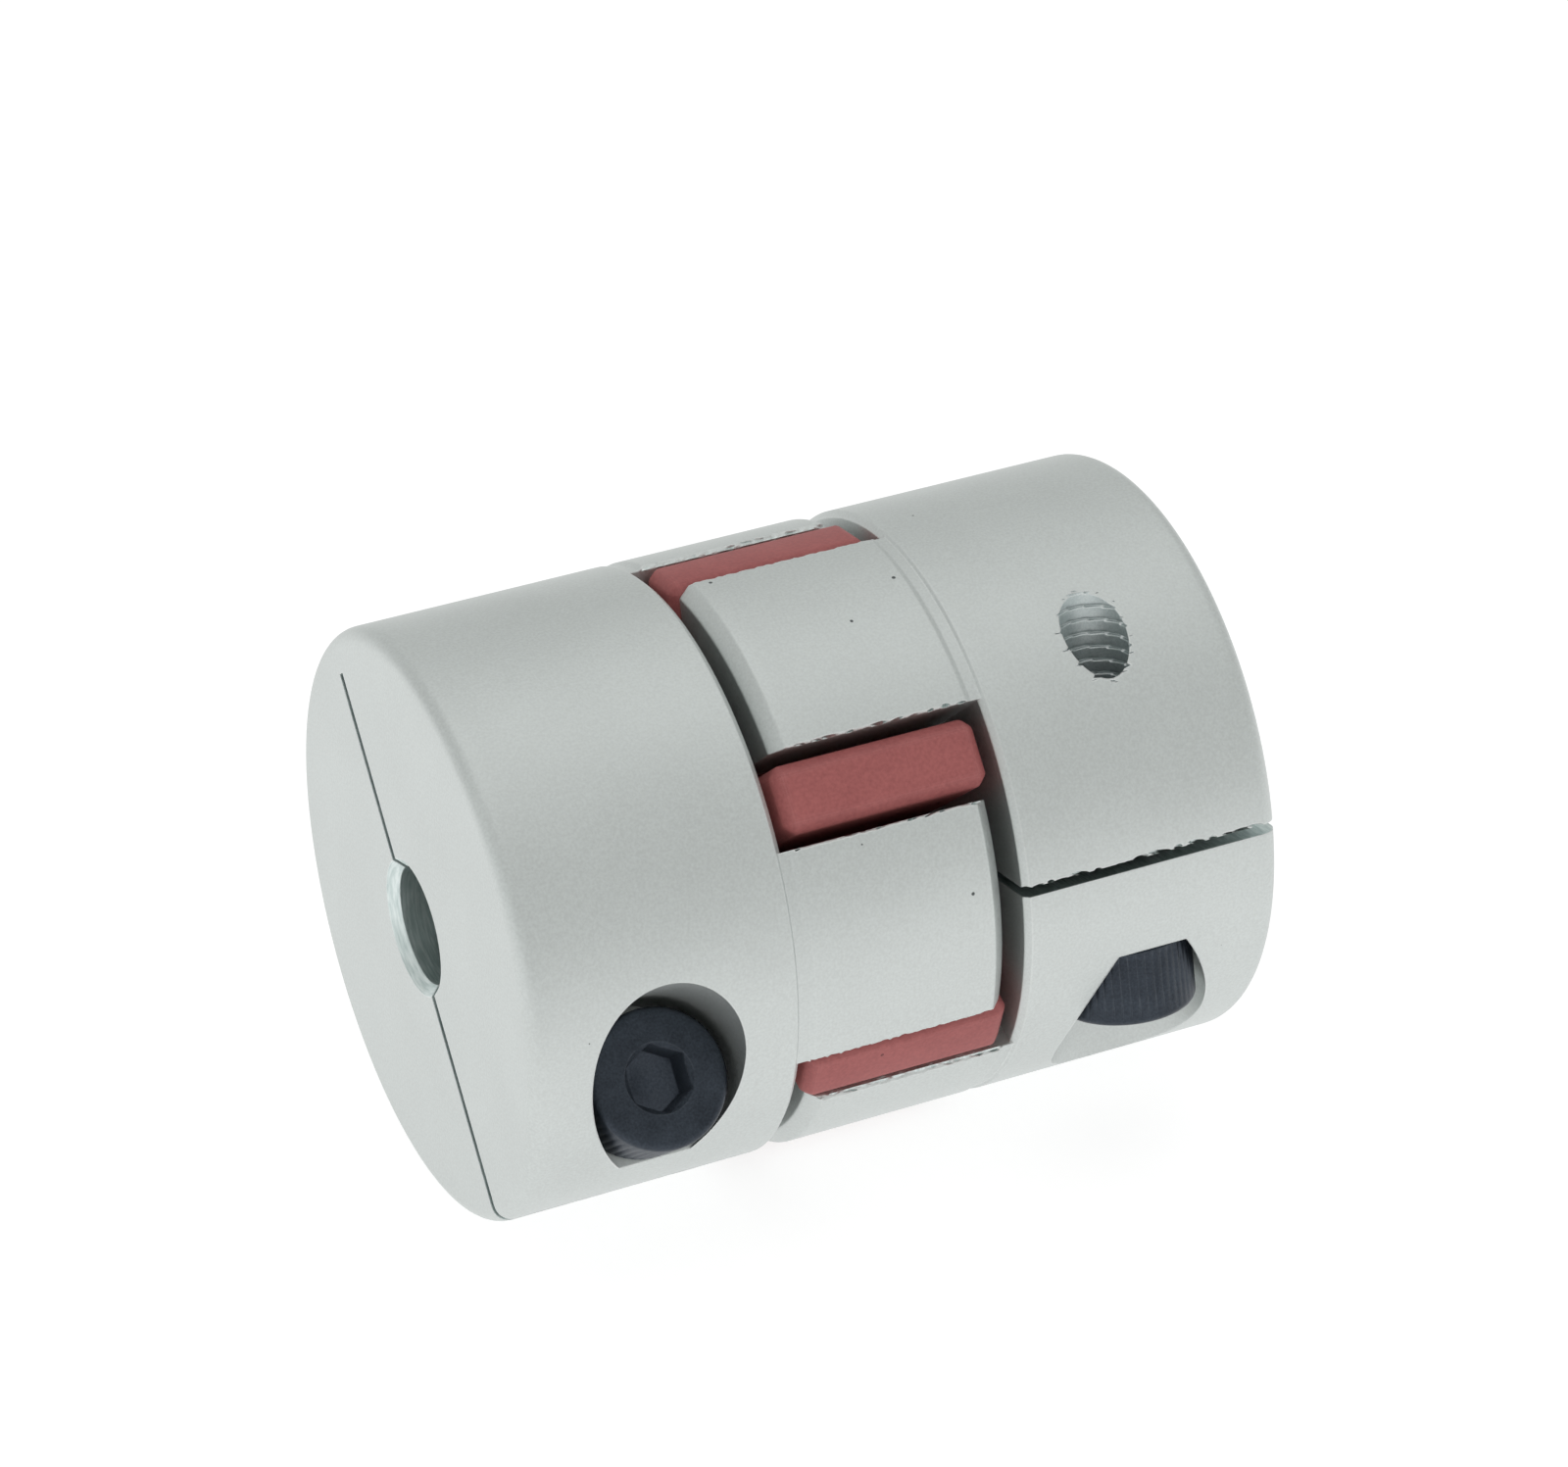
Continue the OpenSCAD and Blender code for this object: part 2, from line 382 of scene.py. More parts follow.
def starTree():
    # one leg repeated round the axis
    tree, given, result = newTree("starTree", "GeometryNodeTree", [
        ("Geometry", "NodeSocketGeometry", None),
        ("Legs", "NodeSocketInt", 6),
        ("First Turn", "NodeSocketFloat", 0.0),
        ("Finish", "NodeSocketMaterial", None),
    ], [("Geometry", "NodeSocketGeometry")])
    spots = addNode(tree, "GeometryNodePoints")
    feed(tree, spots.inputs["Count"], given["Legs"])
    index = addNode(tree, "GeometryNodeInputIndex").outputs[0]
    step = calc(tree, "DIVIDE", math.tau, given["Legs"])
    turn = calc(tree, "ADD", calc(tree, "MULTIPLY", index, step), given["First Turn"])
    spin = addNode(tree, "ShaderNodeCombineXYZ")
    feed(tree, spin.inputs[2], turn)
    strung = addNode(tree, "GeometryNodeInstanceOnPoints")
    tree.links.new(spots.outputs[0], strung.inputs["Points"])
    tree.links.new(given["Geometry"], strung.inputs["Instance"])
    tree.links.new(spin.outputs[0], strung.inputs["Rotation"])
    closeTree(tree, strung.outputs[0], given["Finish"], result["Geometry"])
    return tree


# finishes

def grainGroup():
    # fine grain, broad cloudiness and rare dark pits of a blasted or moulded surface
    group, given, result = newTree("surfaceGrain", "ShaderNodeTree", [
        ("Grain Size", "NodeSocketFloat", 0.12),
        ("Cloud Size", "NodeSocketFloat", 4.0),
        ("Pit Spacing", "NodeSocketFloat", 1.6),
        ("Pit Size", "NodeSocketFloat", 0.09),
    ], [
        ("Grain", "NodeSocketFloat"),
        ("Cloud", "NodeSocketFloat"),
        ("Pits", "NodeSocketFloat"),
    ])
    place = addNode(group, "ShaderNodeTexCoord").outputs["Object"]
    grain = addNode(group, "ShaderNodeTexNoise")
    grain.inputs["Detail"].default_value = 3.0
    tied = [(grain, "Grain Size")]
    cloud = addNode(group, "ShaderNodeTexNoise")
    cloud.inputs["Detail"].default_value = 2.0
    tied.append((cloud, "Cloud Size"))
    cells = addNode(group, "ShaderNodeTexVoronoi")
    tied.append((cells, "Pit Spacing"))
    for texture, size in tied:
        group.links.new(place, texture.inputs["Vector"])
        feed(group, texture.inputs["Scale"], calc(group, "DIVIDE", 1 / mm, given[size]))
    chance = addNode(group, "ShaderNodeSeparateColor")
    group.links.new(cells.outputs["Color"], chance.inputs[0])
    plainShare = 0.86   # of the cells have no pit
    chosen = calc(group, "GREATER_THAN", chance.outputs[0], plainShare)
    reach = calc(group, "DIVIDE", given["Pit Size"], given["Pit Spacing"])
    reach = calc(group, "MULTIPLY", reach, calc(group, "ADD", chance.outputs[1], 0.4))
    hole = calc(group, "LESS_THAN", cells.outputs["Distance"], reach)
    feed(group, result["Grain"], grain.outputs["Fac"])
    feed(group, result["Cloud"], cloud.outputs["Fac"])
    feed(group, result["Pits"], calc(group, "MULTIPLY", chosen, hole))
    return group


def edgeWearAndHighlightGroup():
    # 1 on edges and corners, broken up by noise, and the softened normal there. The finishes lighten their edges
    # by this mask: partly rubbed wear, partly a painted highlight
    group, given, result = newTree("edgeWearAndHighlight", "ShaderNodeTree", [
        ("Edge Width", "NodeSocketFloat", 0.15),
        ("Break Up", "NodeSocketFloat", 0.5),
    ], [("Wear And Highlight", "NodeSocketFloat"), ("Soft Normal", "NodeSocketVector")])
    soft = addNode(group, "ShaderNodeBevel", samples=4)
    feed(group, soft.inputs["Radius"], calc(group, "MULTIPLY", given["Edge Width"], mm))
    facing = addNode(group, "ShaderNodeVectorMath", operation="DOT_PRODUCT")
    group.links.new(soft.outputs[0], facing.inputs[0])
    group.links.new(addNode(group, "ShaderNodeNewGeometry").outputs["True Normal"], facing.inputs[1])
    flat, bent = 0.99, 0.9      # cosines of the angle between the soft and the true normal
    bend = remap(group, facing.outputs["Value"], flat, bent)
    noise = addNode(group, "ShaderNodeTexNoise")
    noise.inputs["Scale"].default_value = 1.2 / mm
    noise.inputs["Detail"].default_value = 3.0
    group.links.new(addNode(group, "ShaderNodeTexCoord").outputs["Object"], noise.inputs["Vector"])
    patchy = remap(group, noise.outputs["Fac"], 0.35, 0.6)
    gap = calc(group, "SUBTRACT", 1.0, given["Break Up"])
    spread = calc(group, "ADD", calc(group, "MULTIPLY", patchy, given["Break Up"]), gap)
    feed(group, result["Wear And Highlight"], calc(group, "MULTIPLY", bend, spread))
    feed(group, result["Soft Normal"], soft.outputs[0])
    return group


def mixColour(tree, share, first, second):
    node = addNode(tree, "ShaderNodeMix", data_type="RGBA", blend_type="MIX")
    feed(tree, node.inputs[0], share)
    feed(tree, node.inputs[6], first)
    feed(tree, node.inputs[7], second)
    return node.outputs[2]


def newFinish(name, metallic):
    material = bpy.data.materials.new(name)
    material.use_nodes = True
    tree = material.node_tree
    tree.nodes.clear()
    shader = addNode(tree, "ShaderNodeBsdfPrincipled")
    shader.inputs["Metallic"].default_value = metallic
    output = addNode(tree, "ShaderNodeOutputMaterial")
    tree.links.new(shader.outputs[0], output.inputs[0])
    return material, tree, shader


noiseMiddle = (0.35, 0.65)      # nearly all of a noise's values lie between these


def placeGroup(tree, group, values):
    node = addNode(tree, "ShaderNodeGroup", node_tree=group)
    for name, value in values.items():
        node.inputs[name].default_value = value
    return node


def surfaceTone(tree, surface, grainShare):
    # grain and cloudiness together, from 0 to 1
    grainPart = calc(tree, "MULTIPLY", surface.outputs["Grain"], grainShare)
    cloudPart = calc(tree, "MULTIPLY", surface.outputs["Cloud"], 1 - grainShare)
    return remap(tree, calc(tree, "ADD", grainPart, cloudPart), *noiseMiddle)


def setRoughness(tree, shader, source, values):
    rough = calc(tree, "MULTIPLY_ADD", source, values["roughSpread"], values["roughness"])
    feed(tree, shader.inputs["Roughness"], rough)


def setBump(tree, shader, height, edges, values):
    node = addNode(tree, "ShaderNodeBump")
    feed(tree, node.inputs["Height"], height)
    node.inputs["Strength"].default_value = values["bump"]
    node.inputs["Distance"].default_value = values["bumpDepth"] * mm
    tree.links.new(edges.outputs["Soft Normal"], node.inputs["Normal"])
    tree.links.new(node.outputs[0], shader.inputs["Normal"])


blastedValues = {
    "metallic": 1.0,
    "light": (0.66, 0.69, 0.68, 1),
    "dark": (0.585, 0.61, 0.6, 1),
    # edge colour: partly wear, partly a painted highlight
    "worn": (0.82, 0.84, 0.83, 1),
    "pit": (0.12, 0.13, 0.13, 1),
    "grainShare": 0.82,
    "roughness": 0.44,          # the least, and how much the grain adds
    "roughSpread": 0.16,
    "bump": 0.35,
    "bumpDepth": 0.02,
    "surface": {"Grain Size": 0.14, "Cloud Size": 5.0, "Pit Spacing": 1.7, "Pit Size": 0.1},
    "edge": {"Edge Width": 0.12, "Break Up": 0.4},
}


def blastedFinish(grain, wearAndHighlight):
    # bead-blasted, clear anodised aluminium
    values = blastedValues
    material, tree, shader = newFinish("blastedAluminium", values["metallic"])
    surface, edges = placeGroup(tree, grain, values["surface"]), placeGroup(tree, wearAndHighlight, values["edge"])
    tone = surfaceTone(tree, surface, values["grainShare"])
    colour = mixColour(tree, tone, values["dark"], values["light"])
    # edges lightened toward the worn colour: partly wear, partly a painted highlight
    colour = mixColour(tree, edges.outputs["Wear And Highlight"], colour, values["worn"])
    colour = mixColour(tree, surface.outputs["Pits"], colour, values["pit"])
    feed(tree, shader.inputs["Base Color"], colour)
    setRoughness(tree, shader, surface.outputs["Grain"], values)
    height = calc(tree, "SUBTRACT", surface.outputs["Grain"], surface.outputs["Pits"])
    setBump(tree, shader, height, edges, values)
    return material


cutValues = {
    "metallic": 1.0,
    "light": (0.74, 0.8, 0.79, 1),
    "dark": (0.52, 0.6, 0.59, 1),
    # edge colour: partly wear, partly a painted highlight
    "worn": (0.8, 0.83, 0.82, 1),
    "streaks": (9.0, 0.9, 0.9),     # per millimetre, along each axis
    "roughness": 0.3,
    "roughSpread": 0.2,
    "bump": 0.3,
    "bumpDepth": 0.01,
    "surface": {"Grain Size": 0.1, "Cloud Size": 1.5, "Pit Spacing": 1.2, "Pit Size": 0.08},
    "edge": {"Edge Width": 0.08, "Break Up": 0.2},
}


def cutFinish(grain, wearAndHighlight):
    # bare machined aluminium of bores and slits, with streaks that run round the shaft's axis
    values = cutValues
    material, tree, shader = newFinish("machinedAluminium", values["metallic"])
    surface, edges = placeGroup(tree, grain, values["surface"]), placeGroup(tree, wearAndHighlight, values["edge"])
    stretch = addNode(tree, "ShaderNodeMapping")
    stretch.inputs["Scale"].default_value = [scale / mm for scale in values["streaks"]]
    place = addNode(tree, "ShaderNodeTexCoord").outputs["Object"]
    tree.links.new(place, stretch.inputs["Vector"])
    streaks = addNode(tree, "ShaderNodeTexNoise")
    streaks.inputs["Scale"].default_value = 1.0
    streaks.inputs["Detail"].default_value = 2.0
    tree.links.new(stretch.outputs[0], streaks.inputs["Vector"])
    tone = remap(tree, streaks.outputs["Fac"], *noiseMiddle)
    colour = mixColour(tree, tone, values["dark"], values["light"])
    # edges lightened toward the worn colour: partly wear, partly a painted highlight
    colour = mixColour(tree, edges.outputs["Wear And Highlight"], colour, values["worn"])
    feed(tree, shader.inputs["Base Color"], colour)
    setRoughness(tree, shader, surface.outputs["Grain"], values)
    setBump(tree, shader, streaks.outputs["Fac"], edges, values)
    return material


tappedValues = {
    "metallic": 0.85,
    "light": (0.68, 0.73, 0.73, 1),
    "dark": (0.5, 0.56, 0.56, 1),
    # edge colour: partly wear, partly a painted highlight
    "worn": (0.9, 0.93, 0.93, 1),
    "grainShare": 0.5,
    "roughness": 0.36,
    "roughSpread": 0.2,
    "bump": 0.3,
    "bumpDepth": 0.02,
    "surface": {"Grain Size": 0.1, "Cloud Size": 0.9, "Pit Spacing": 0.8, "Pit Size": 0.07},
    "edge": {"Edge Width": 0.1, "Break Up": 0.3},
}


def tappedFinish(grain, wearAndHighlight):
    # bright cut thread
    values = tappedValues
    material, tree, shader = newFinish("tappedAluminium", values["metallic"])
    surface, edges = placeGroup(tree, grain, values["surface"]), placeGroup(tree, wearAndHighlight, values["edge"])
    tone = surfaceTone(tree, surface, values["grainShare"])
    colour = mixColour(tree, tone, values["dark"], values["light"])
    # edges lightened toward the worn colour: partly wear, partly a painted highlight
    colour = mixColour(tree, edges.outputs["Wear And Highlight"], colour, values["worn"])
    feed(tree, shader.inputs["Base Color"], colour)
    setRoughness(tree, shader, surface.outputs["Grain"], values)
    setBump(tree, shader, surface.outputs["Grain"], edges, values)
    return material


rubberValues = {
    "metallic": 0.0,
    "light": (0.40, 0.112, 0.108, 1),
    "dark": (0.31, 0.078, 0.077, 1),
    # edge colour: a painted highlight along the legs' edges, with some wear
    "worn": (0.56, 0.24, 0.23, 1),
    "wearAndHighlightShare": 0.75,
    "pit": (0.16, 0.04, 0.04, 1),
    "grainShare": 0.65,
    "roughness": 0.52,
    "roughSpread": 0.2,
    "bump": 0.4,
    "bumpDepth": 0.03,
    "surface": {"Grain Size": 0.18, "Cloud Size": 3.0, "Pit Spacing": 1.3, "Pit Size": 0.07},
    "edge": {"Edge Width": 0.3, "Break Up": 0.4},
}


def rubberFinish(grain, wearAndHighlight):
    # matte cast polyurethane
    values = rubberValues
    material, tree, shader = newFinish("castPolyurethane", values["metallic"])
    surface, edges = placeGroup(tree, grain, values["surface"]), placeGroup(tree, wearAndHighlight, values["edge"])
    tone = surfaceTone(tree, surface, values["grainShare"])
    colour = mixColour(tree, tone, values["dark"], values["light"])
    # legs' edges lightened: a painted highlight, with some wear
    worn = calc(tree, "MULTIPLY", edges.outputs["Wear And Highlight"], values["wearAndHighlightShare"])
    colour = mixColour(tree, worn, colour, values["worn"])
    colour = mixColour(tree, surface.outputs["Pits"], colour, values["pit"])
    feed(tree, shader.inputs["Base Color"], colour)
    setRoughness(tree, shader, surface.outputs["Grain"], values)
    height = calc(tree, "SUBTRACT", surface.outputs["Grain"], surface.outputs["Pits"])
    setBump(tree, shader, height, edges, values)
    return material


blackValues = {
    "metallic": 0.6,
    "outside": ((0.018, 0.024, 0.034, 1), (0.045, 0.057, 0.075, 1)),    # dark and light
    # socket: the same black oxide painted lighter, standing in for light inside the hex socket
    "socket": ((0.05, 0.064, 0.085, 1), (0.11, 0.13, 0.165, 1)),
    # edge colour: partly rubbed wear, partly a painted highlight
    "worn": (0.22, 0.24, 0.27, 1),
    "wearAndHighlightShare": 0.3,
    "grainShare": 0.5,
    "roughness": 0.3,
    "roughSpread": 0.3,
    "bump": 0.3,
    "bumpDepth": 0.02,
    "surface": {"Grain Size": 0.12, "Cloud Size": 1.6, "Pit Spacing": 0.9, "Pit Size": 0.06},
    "edge": {"Edge Width": 0.1, "Break Up": 0.8},
}


def blackFinish(grain, wearAndHighlight, name, dark, light):
    # black oxide on steel, lighter on its edges: partly rubbed wear, partly a painted highlight
    values = blackValues
    material, tree, shader = newFinish(name, values["metallic"])
    surface, edges = placeGroup(tree, grain, values["surface"]), placeGroup(tree, wearAndHighlight, values["edge"])
    colour = mixColour(tree, surfaceTone(tree, surface, values["grainShare"]), dark, light)
    # edges lightened: partly rubbed wear, partly a painted highlight
    worn = calc(tree, "MULTIPLY", edges.outputs["Wear And Highlight"], values["wearAndHighlightShare"])
    colour = mixColour(tree, worn, colour, values["worn"])
    feed(tree, shader.inputs["Base Color"], colour)
    setRoughness(tree, shader, surface.outputs["Cloud"], values)
    setBump(tree, shader, surface.outputs["Grain"], edges, values)
    return material


# hubs

hubValues = {
    "turns": 256,               # facets round a turned surface
    "rowSpacing": 0.5,          # short facets shade cleanly round cuts
    "endRound": 0.85,
    "shoulderChamfer": 0.3,
    "tipChamfer": 0.7,
    "grooveWidth": 0.7,
    "grooveDepth": 0.15,
    "grooveRamp": 0.3,
    "edgeSoftness": 0.06,       # radius left on turned edges
    "jaws": (60, 180, 300),     # degrees from the slit to each jaw's middle
    "jawTurn": 30,              # degrees from there to the leg on either side
    "jawInner": 8.0,
    "legWidth": 3.4,
    "flankGap": 0.35,
    "slitWidth": 0.5,
    "reliefWeb": 2.0,           # metal left behind the slit's far end
    "boreChamfer": 0.5,
    "seatDepth": 5.0,
    "plainHole": 2.25,          # radii of the screw's holes
    "pocket": 4.0,
    "tapMajor": 2.0,
    "tapMinor": 1.65,
    "tapPitch": 0.7,
    "shadeAngle": 28,           # degrees, past which an edge is shaded sharp
    "slitChip": 0.17,           # size of a bite, and the spacing of the bites
    "slitSpacing": 0.6,
    "jawChip": 0.15,
    "jawSpacing": 0.8,
    "rimChip": 0.06,
    "rimSpacing": 0.9,
    "jawBreak": 0.16,           # the jaws' long edges are broken by this much
    "tornShare": 1.1,           # of that on the torn side of a jaw, and on the clean side
    "cleanShare": 0.7,
    "flankSpread": (0.55, 1.25),
    "surfaceSpread": (0.6, 1.3),
    "burr": 0.14,
    "burrHeights": (0.15, 0.3, 0.5, 0.8, 1.0),
    "burrInset": 0.22,          # from the corner along the flank
    "burrHalf": 0.09,           # half the burr's foot, and how far it is sunk
    "burrSunk": 0.08,
    "jawStart": 0.55,           # the worn length starts this far above the body
}


def uprightPlace(columns, spot):
    # a frame from its three axes and its origin, with millimetres for units
    place = Matrix([[column[row] for column in columns] for row in range(3)]).to_4x4()
    place.translation = spot
    return place @ Matrix.Scale(mm, 4)


def hubPlace(jointName):
    # a hub's own frame: its end face at the origin, +Z to its jaws, its slit open along +X
    joint = joints[jointName]
    spot = Vector(joint["pos_m"])
    side = math.copysign(1, spot.x)
    slitWay = Vector((0, spot.y, spot.z)).normalized()
    columns = (slitWay, -Vector(joint["axis"]), Vector((-side, 0, 0)))
    return uprightPlace(columns, Vector((side * cadBox[1].x, 0, 0)))


def hubSizes(node, jointName, mountName):
    low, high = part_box(node)
    spot = Vector(joints[jointName]["pos_m"])
    return {
        "radius": high.z / mm,
        "tip": (high.x - low.x) / mm,
        "body": 2 * (cadBox[1].x - abs(spot.x)) / mm,
        "screwOffset": math.hypot(spot.y, spot.z) / mm,
        "bore": mounts[mountName]["dims"]["r_mm"],
    }


def jawSectors(size):
    values = hubValues
    half = math.radians(values["jawTurn"])
    flank = values["legWidth"] / 2 + values["flankGap"]
    apex = flank / math.sin(half)
    reach = 2 * size["radius"]
    far, wide = apex + reach * math.cos(half), reach * math.sin(half)
    outlines = []
    for middle in values["jaws"]:
        turn = Matrix.Rotation(math.radians(middle), 2)
        outlines.append([turn @ Vector(point) for point in ((apex, 0), (far, -wide), (far, wide))])
    return outlines


def brokenEdge(name, corner, alongFlank, alongSurface, span, size, seed, finish):
    # a cutter that takes a long edge off by an uneven amount
    draw = random.Random(seed)
    way = (alongSurface - alongFlank).normalized()
    out = -(alongSurface + alongFlank).normalized()
    past, clear = 0.1, 0.6      # the cutter overruns the cut, and reaches out past the corner
    sections = []
    for height in span:
        flankCut = size * draw.uniform(*hubValues["flankSpread"])
        surfaceCut = size * draw.uniform(*hubValues["surfaceSpread"])
        first = corner + alongFlank * flankCut - way * past
        second = corner + alongSurface * surfaceCut + way * past
        corners = (first, second, second + out * clear, first + out * clear)
        sections.append([(x, y, height) for x, y in corners])
    return loft(name, sections, finish)


def burrEdge(name, corner, alongFlank, alongSurface, span, size, seed, finish):
    # a torn lip that stands off a cut edge
    draw = random.Random(seed)
    half = hubValues["burrHalf"]
    root = corner + alongFlank * hubValues["burrInset"]
    foot = root + alongSurface * hubValues["burrSunk"]
    sections = []
    for height in span:
        lift = size * draw.choice(hubValues["burrHeights"]) * draw.uniform(0.6, 1)
        tip = root - alongSurface * lift - alongFlank * lift * 0.5
        corners = (foot - alongFlank * half, tip, foot + alongFlank * half)
        sections.append([(x, y, height) for x, y in corners])
    return loft(name, sections, finish)


def chipsAlong(name, points, facing, chip, seed, finish):
    # bites strung along the edge that the points follow, for combine to cut out
    mesh = bmesh.new()
    verts = [mesh.verts.new(point) for point in points]
    for first, second in zip(verts, verts[1:]):
        mesh.edges.new((first, second))
    length = sum((Vector(second) - Vector(first)).length for first, second in zip(points, points[1:]))
    return runTree(toObject(name, mesh), chipTreeMade, {
        "Count": round(length / hubValues[chip + "Spacing"]), "Size": hubValues[chip + "Chip"],
        "Facing": facing, "Seed": seed, "Finish": finish})


def turnHub(name, size):
    # the body and the ring that the jaws are cut from
    values = hubValues
    radius, body, tip = size["radius"], size["body"], size["tip"]
    soft, chamfer, tipEdge = values["edgeSoftness"], values["shoulderChamfer"], values["tipChamfer"]
    spacing = values["rowSpacing"]
    rows = [spacing * step for step in range(int(tip / spacing))]
    margin = 0.2                # no row comes closer than this to a corner
    outline = rounded([
        (0, 0, 0),
        (radius, 0, values["endRound"]),
        *[(radius, row, 0) for row in rows if values["endRound"] + margin < row < body - chamfer - margin],
        (radius, body - chamfer, soft),
        (radius - chamfer, body, soft),
        (0, body, 0),
    ], 8)
    hub = lathe(name, outline, values["turns"], finish=blasted)
    groove, grooveTop = radius - values["grooveDepth"], body + values["grooveWidth"]
    overlap = 1                 # the ring starts inside the body
    ring = lathe("jawRing", rounded([
        (values["jawInner"], body - overlap, 0),
        (groove, body - overlap, 0),
        (groove, grooveTop - values["grooveRamp"], 2 * soft),
        (radius, grooveTop, soft),
        *[(radius, row, 0) for row in rows if grooveTop + margin < row < tip - tipEdge - 0.3],
        (radius, tip - tipEdge, 3 * soft),
        (radius - tipEdge, tip, 3 * soft),
        (values["jawInner"], tip, 2 * soft),
    ]), values["turns"], closed=True, finish=blasted)
    sectors = prism("jawSectors", jawSectors(size), body - 2 * overlap, tip + overlap, blasted)
    combine(ring, sectors, "INTERSECT")
    return combine(hub, ring, "UNION")


def boreAndSlit(hub, size):
    values = hubValues
    radius, body, tip, bore = size["radius"], size["body"], size["tip"], size["bore"]
    chamfer, clear = values["boreChamfer"], 1
    mouth = bore + chamfer
    cutter = lathe("boreCutter", [
        (0, -clear), (mouth + clear, -clear), (bore, chamfer),
        (bore, body - chamfer), (mouth + clear, body + clear), (0, body + clear),
    ], values["turns"] // 2, finish=machined)
    combine(hub, cutter, "DIFFERENCE")
    wall = values["slitWidth"] / 2
    relief = radius - values["reliefWeb"]
    outline = [(-relief, -wall), (radius + clear, -wall), (radius + clear, wall), (-relief, wall)]
    combine(hub, prism("slitCutter", [outline], -clear, tip + clear, machined), "DIFFERENCE")


def screwHoles(hub, size):
    # the screw's line crosses the slit: its head's pocket is on one side and its thread on the other
    values = hubValues
    radius, reach, seat = size["radius"], size["screwReach"], values["seatDepth"]
    spot = Matrix.Translation((size["screwOffset"], 0, size["body"] / 2))
    across = spot @ Matrix.Rotation(math.radians(-90), 4, "X")
    down = spot @ Matrix.Rotation(math.radians(90), 4, "X")
    plain, major, minor = values["plainHole"], values["tapMajor"], values["tapMinor"]
    start = -0.1                # the holes overlap in the slit
    tools = [
        (down, [(0, start), (plain, start), (plain, seat + 1), (0, seat + 1)], machined),
        (down, [(0, seat), (values["pocket"], seat), (values["pocket"], radius), (0, radius)], blasted),
        (across, [(0, start), (major, start), (major, reach + 0.15), (minor, reach + 0.3),
                  (0, reach + 0.3)], tapped),
    ]
    for turn, shape, finish in tools:
        tool = lathe("holeCutter", shape, values["turns"] // 2, finish=finish)
        tool.data.transform(turn)
        combine(hub, tool, "DIFFERENCE")
    # past the screw's tip the thread shows
    length, pitch = radius - reach, values["tapPitch"]
    tap = toObject("tapCutter", bmesh.new())
    runTree(tap, threadTreeMade, {
        "Length": length, "Root Radius": minor, "Crest Radius": major + 0.02,
        "Pitch": pitch, "Run Out": 0.05, "Around": 96,
        "Along": int(length / pitch * 12), "Finish": tapped})
    tap.data.transform(across @ Matrix.Translation((0, 0, reach + length / 2)))
    combine(hub, tap, "DIFFERENCE")


def wearEdges(hub, size, seed):
    # bites in the edges of the tapped hole, the slit and the jaws, and a torn lip on each jaw
    values = hubValues
    radius, body, tip = size["radius"], size["body"], size["tip"]
    rim, steps = [], 96
    near = values["tapMinor"] + 0.12
    for step in range(steps + 1):
        turn = math.tau * step / steps
        x, z = size["screwOffset"] + near * math.cos(turn), body / 2 + near * math.sin(turn)
        rim.append((x, math.sqrt(radius ** 2 - x ** 2), z))
    combine(hub, chipsAlong("rimChips", rim, 0.8, "rim", seed, tapped), "DIFFERENCE")

    wall = values["slitWidth"] / 2
    edge, steps = math.sqrt(radius ** 2 - wall ** 2), 40
    line = [(edge, wall, body * step / steps) for step in range(steps + 1)]
    combine(hub, chipsAlong("slitChips", line, 0.0, "slit", seed, machined), "DIFFERENCE")

    flank = values["legWidth"] / 2 + values["flankGap"]
    start, steps = body + hubValues["jawStart"], 44
    span = [start + (tip - body - hubValues["jawStart"] + 0.1) * step / steps for step in range(steps + 1)]
    for index, middle in enumerate(values["jaws"]):
        for side in (-1, 1):
            legTurn = math.radians(middle + side * values["jawTurn"])
            turn = legTurn - side * math.asin(flank / radius)
            corner = radius * Vector((math.cos(turn), math.sin(turn)))
            alongFlank = -Vector((math.cos(legTurn), math.sin(legTurn)))
            alongSurface = -side * Vector((-math.sin(turn), math.cos(turn)))
            torn = side == 1
            amount = hubValues["jawBreak"] * hubValues["tornShare" if torn else "cleanShare"]
            ways = (corner, alongFlank, alongSurface)
            worn = brokenEdge("edgeBreak", *ways, span, amount, seed + index + side, blasted)
            combine(hub, worn, "DIFFERENCE")
            line = [(*corner, height) for height in span[2:-3]]
            chips = chipsAlong("jawChips", line, legTurn, "jaw", seed + 10 * index + side, machined)
            combine(hub, chips, "DIFFERENCE")
            if torn:
                lip = [height for height in span if height < tip - 1]
                burr = burrEdge("jawBurr", *ways, lip, hubValues["burr"], seed + 5 * index, machined)
                combine(hub, burr, "UNION")


def makeHub(name, size, seed):
    hub = turnHub(name, size)
    boreAndSlit(hub, size)
    screwHoles(hub, size)
    wearEdges(hub, size, seed)
    shadeByAngle(hub, hubValues["shadeAngle"])
    return hub


# screws

screwValues = {
    "headLength": 4.0,
    "headRadius": 3.5,
    "headRound": 0.4,
    "footChamfer": 0.15,
    "ribs": 50,                 # knurl round the head
    "ribDepth": 0.06,
    "socketWidth": 3.0,
    "socketDepth": 2.2,
    "drillDepth": 0.42,         # of the cone under the socket
    "threadCrest": 1.94,
    "threadRoot": 1.6,
    "pitch": 0.7,
    "shadeAngle": 35,
}


def screwSizes(node, jointName):
    # how far the screw's tip and its head's top are from the slit's middle plane
    joint = joints[jointName]
    spot, out = Vector(joint["pos_m"]), Vector(joint["axis"])
    along = [(vertex.co - spot).dot(out) / mm for vertex in frame["nodes"][node].data.vertices]
    return -min(along), max(along)


